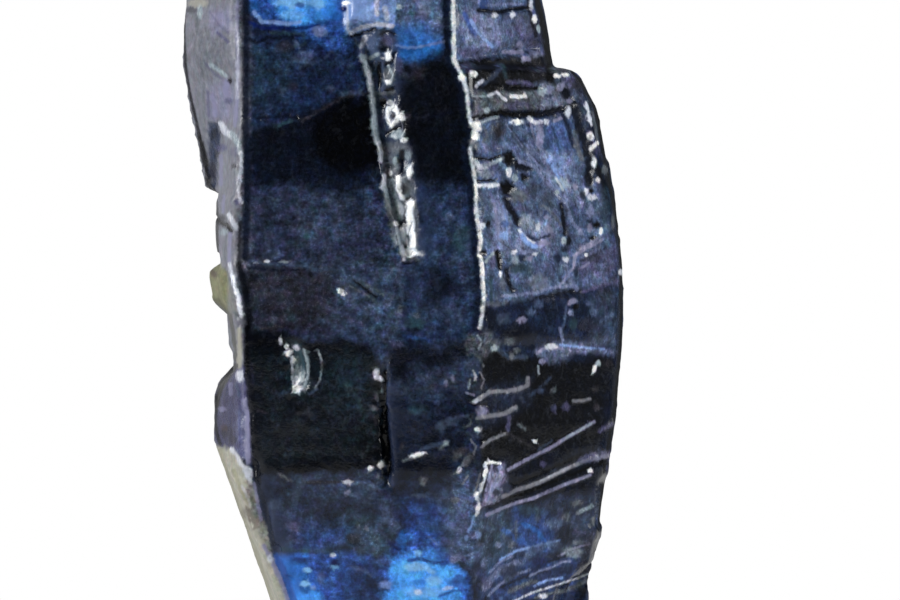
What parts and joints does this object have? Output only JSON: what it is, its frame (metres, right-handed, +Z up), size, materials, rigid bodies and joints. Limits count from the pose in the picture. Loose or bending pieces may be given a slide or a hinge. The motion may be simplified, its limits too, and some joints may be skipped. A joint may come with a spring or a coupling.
{
  "type": "sapphire crystal",
  "caption": "Rough dark-blue sapphire: a stepped, barrel-shaped six-sided crystal with a broken groove and ledges, standing on its flat base.",
  "frame": {"origin": "middle of the crystal's bounding box, on the flat base that it stands on", "axes": "+Z up the crystal's long axis, -Y out of the wide front with the broken groove, +X towards the side with the shoulder"},
  "size_m": [0.0238, 0.0184, 0.047],
  "materials": {
    "sapphire": "natural crystal faces: dark glassy blue, part frosted, chipped along the edges"
  },
  "bodies": {
    "root": {"sapphire_crystal": "sapphire"}
  },
  "joints": []
}
